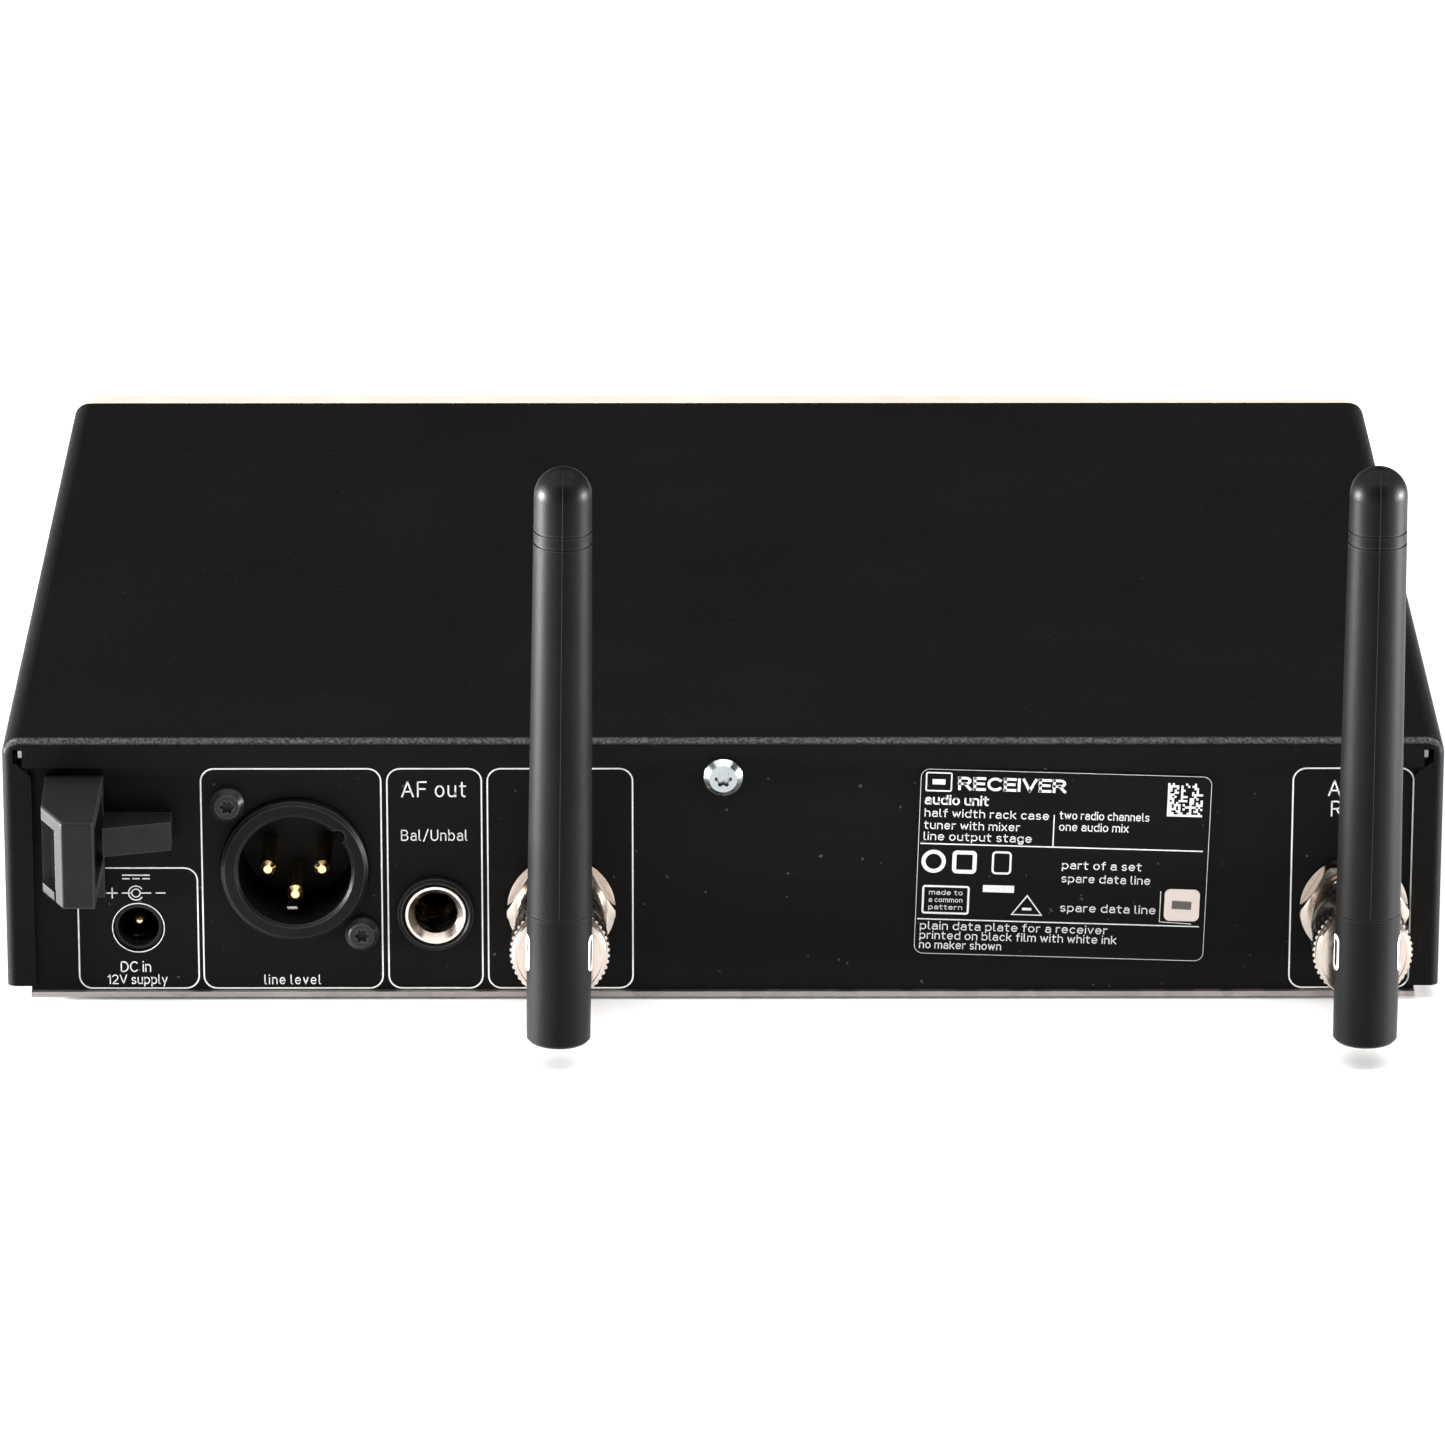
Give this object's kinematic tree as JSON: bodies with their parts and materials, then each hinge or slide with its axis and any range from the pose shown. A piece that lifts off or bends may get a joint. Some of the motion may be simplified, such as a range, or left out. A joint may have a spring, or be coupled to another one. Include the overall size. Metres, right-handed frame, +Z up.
{
  "type": "wireless receiver unit",
  "caption": "Half-rack wireless microphone receiver: folded steel case, rear audio and power sockets, swivelling rod antennas on bayonet connectors and a framed front with keys.",
  "frame": {"origin": "bottom centre of the bounding box, on the tray's underside", "axes": "+X to the right seen from the front, the front faces -Y, the sockets and antennas face +Y, +Z up"},
  "size_m": [0.212, 0.2048, 0.0905],
  "materials": {
    "cover_paint": "textured powder coat, satin black",
    "bare_steel": "galvanised sheet, satin",
    "overlay_film": "satin black printed film",
    "label_film": "satin black label film",
    "seal_foil": "matt silver foil",
    "zinc_screw": "bright zinc",
    "black_screw": "black oxide",
    "bezel_plastic": "light warm grey, satin",
    "fascia_plastic": "dark anthracite, fine texture",
    "pane": "smoked clear, gloss",
    "display": "dark display glass",
    "board_laminate": "green solder mask",
    "component_black": "moulded epoxy",
    "capacitor_can": "bare can",
    "shield_tin": "tin plated",
    "key_plastic": "soft matt",
    "power_key": "soft matt grey",
    "light_pipe": "frosted clear",
    "ribbon": "grey ribbon",
    "black_moulding": "moulded, satin",
    "socket_black": "black coated die cast",
    "nickel": "bright nickel plate",
    "gold_contact": "gold plate",
    "ptfe": "white PTFE",
    "radiator_metal": "copper",
    "aerial_plastic": "moulded elastomer, satin"
  },
  "bodies": {
    "receiver": {"top_cover": "cover_paint", "chassis_tray": "bare_steel", "rear_overlay": "overlay_film", "type_plate": "label_film", "security_sticker": "seal_foil", "cover_screw": "zinc_screw", "front_bezel": "bezel_plastic", "front_fascia": "fascia_plastic", "display_window": "pane", "display_module": "display", "front_board": "board_laminate", "tact_switches": "component_black", "status_light_pipes": "light_pipe", "main_board": "board_laminate", "board_standoffs": "bare_steel", "board_screws": "zinc_screw", "radio_shields": "shield_tin", "board_chips": "component_black", "board_capacitors": "capacitor_can", "ribbon_cable": "ribbon", "bracket_bosses": "bare_steel", "power_socket_body": "black_moulding", "power_socket_pin": "gold_contact", "power_socket_spring": "nickel", "xlr_shell": "socket_black", "xlr_insert": "black_moulding", "xlr_pins": "gold_contact", "xlr_ground_contact": "nickel", "xlr_screws": "black_screw", "audio_jack_bushing": "nickel", "audio_jack_ring": "black_moulding", "audio_jack_housing": "black_moulding", "audio_jack_contacts": "gold_contact", "cable_holder": "black_moulding", "antenna_socket_bodies": "nickel", "antenna_socket_insulators": "ptfe", "antenna_socket_contacts": "gold_contact", "antenna_socket_nuts": "nickel", "antenna_socket_washers": "nickel"},
    "antenna_a": {"antenna_a_rod": "aerial_plastic", "antenna_a_sleeve": "aerial_plastic", "antenna_a_radiator": "radiator_metal", "antenna_a_plug": "nickel", "antenna_a_insulator": "ptfe", "antenna_a_pin": "gold_contact"},
    "antenna_a_lock": {"antenna_a_coupling": "nickel"},
    "antenna_b": {"antenna_b_rod": "aerial_plastic", "antenna_b_sleeve": "aerial_plastic", "antenna_b_radiator": "radiator_metal", "antenna_b_plug": "nickel", "antenna_b_insulator": "ptfe", "antenna_b_pin": "gold_contact"},
    "antenna_b_lock": {"antenna_b_coupling": "nickel"},
    "power_key": {"power_button": "power_key"},
    "sync_key": {"sync_button": "key_plastic"},
    "up_key": {"up_button": "key_plastic"},
    "down_key": {"down_button": "key_plastic"},
    "set_key": {"set_button": "key_plastic"},
    "escape_key": {"escape_button": "key_plastic"}
  },
  "joints": [
    {"name": "antenna_a_swivel", "type": "hinge", "parent": "receiver", "child": "antenna_a", "pos_m": [0.0239, 0.08502, 0.0139], "axis": [0, 1, 0], "range_deg": [-40, 90]},
    {"name": "antenna_b_swivel", "type": "hinge", "parent": "receiver", "child": "antenna_b", "pos_m": [-0.0932, 0.08502, 0.0139], "axis": [0, 1, 0], "range_deg": [-90, 40]},
    {"name": "antenna_a_lock_turn", "type": "hinge", "parent": "receiver", "child": "antenna_a_lock", "pos_m": [0.0239, 0.08352, 0.0139], "axis": [0, 1, 0], "range_deg": [0, 80]},
    {"name": "antenna_b_lock_turn", "type": "hinge", "parent": "receiver", "child": "antenna_b_lock", "pos_m": [-0.0932, 0.08352, 0.0139], "axis": [0, 1, 0], "range_deg": [0, 80]},
    {"name": "power_press", "type": "slide", "parent": "receiver", "child": "power_key", "axis": [0, 1, 0], "range_m": [0, 0.0008], "stiffness_N_per_m": 1500},
    {"name": "sync_press", "type": "slide", "parent": "receiver", "child": "sync_key", "axis": [0, 1, 0], "range_m": [0, 0.0008], "stiffness_N_per_m": 1500},
    {"name": "up_press", "type": "slide", "parent": "receiver", "child": "up_key", "axis": [0, 1, 0], "range_m": [0, 0.0008], "stiffness_N_per_m": 1500},
    {"name": "down_press", "type": "slide", "parent": "receiver", "child": "down_key", "axis": [0, 1, 0], "range_m": [0, 0.0008], "stiffness_N_per_m": 1500},
    {"name": "set_press", "type": "slide", "parent": "receiver", "child": "set_key", "axis": [0, 1, 0], "range_m": [0, 0.0008], "stiffness_N_per_m": 1500},
    {"name": "escape_press", "type": "slide", "parent": "receiver", "child": "escape_key", "axis": [0, 1, 0], "range_m": [0, 0.0008], "stiffness_N_per_m": 1500}
  ]
}
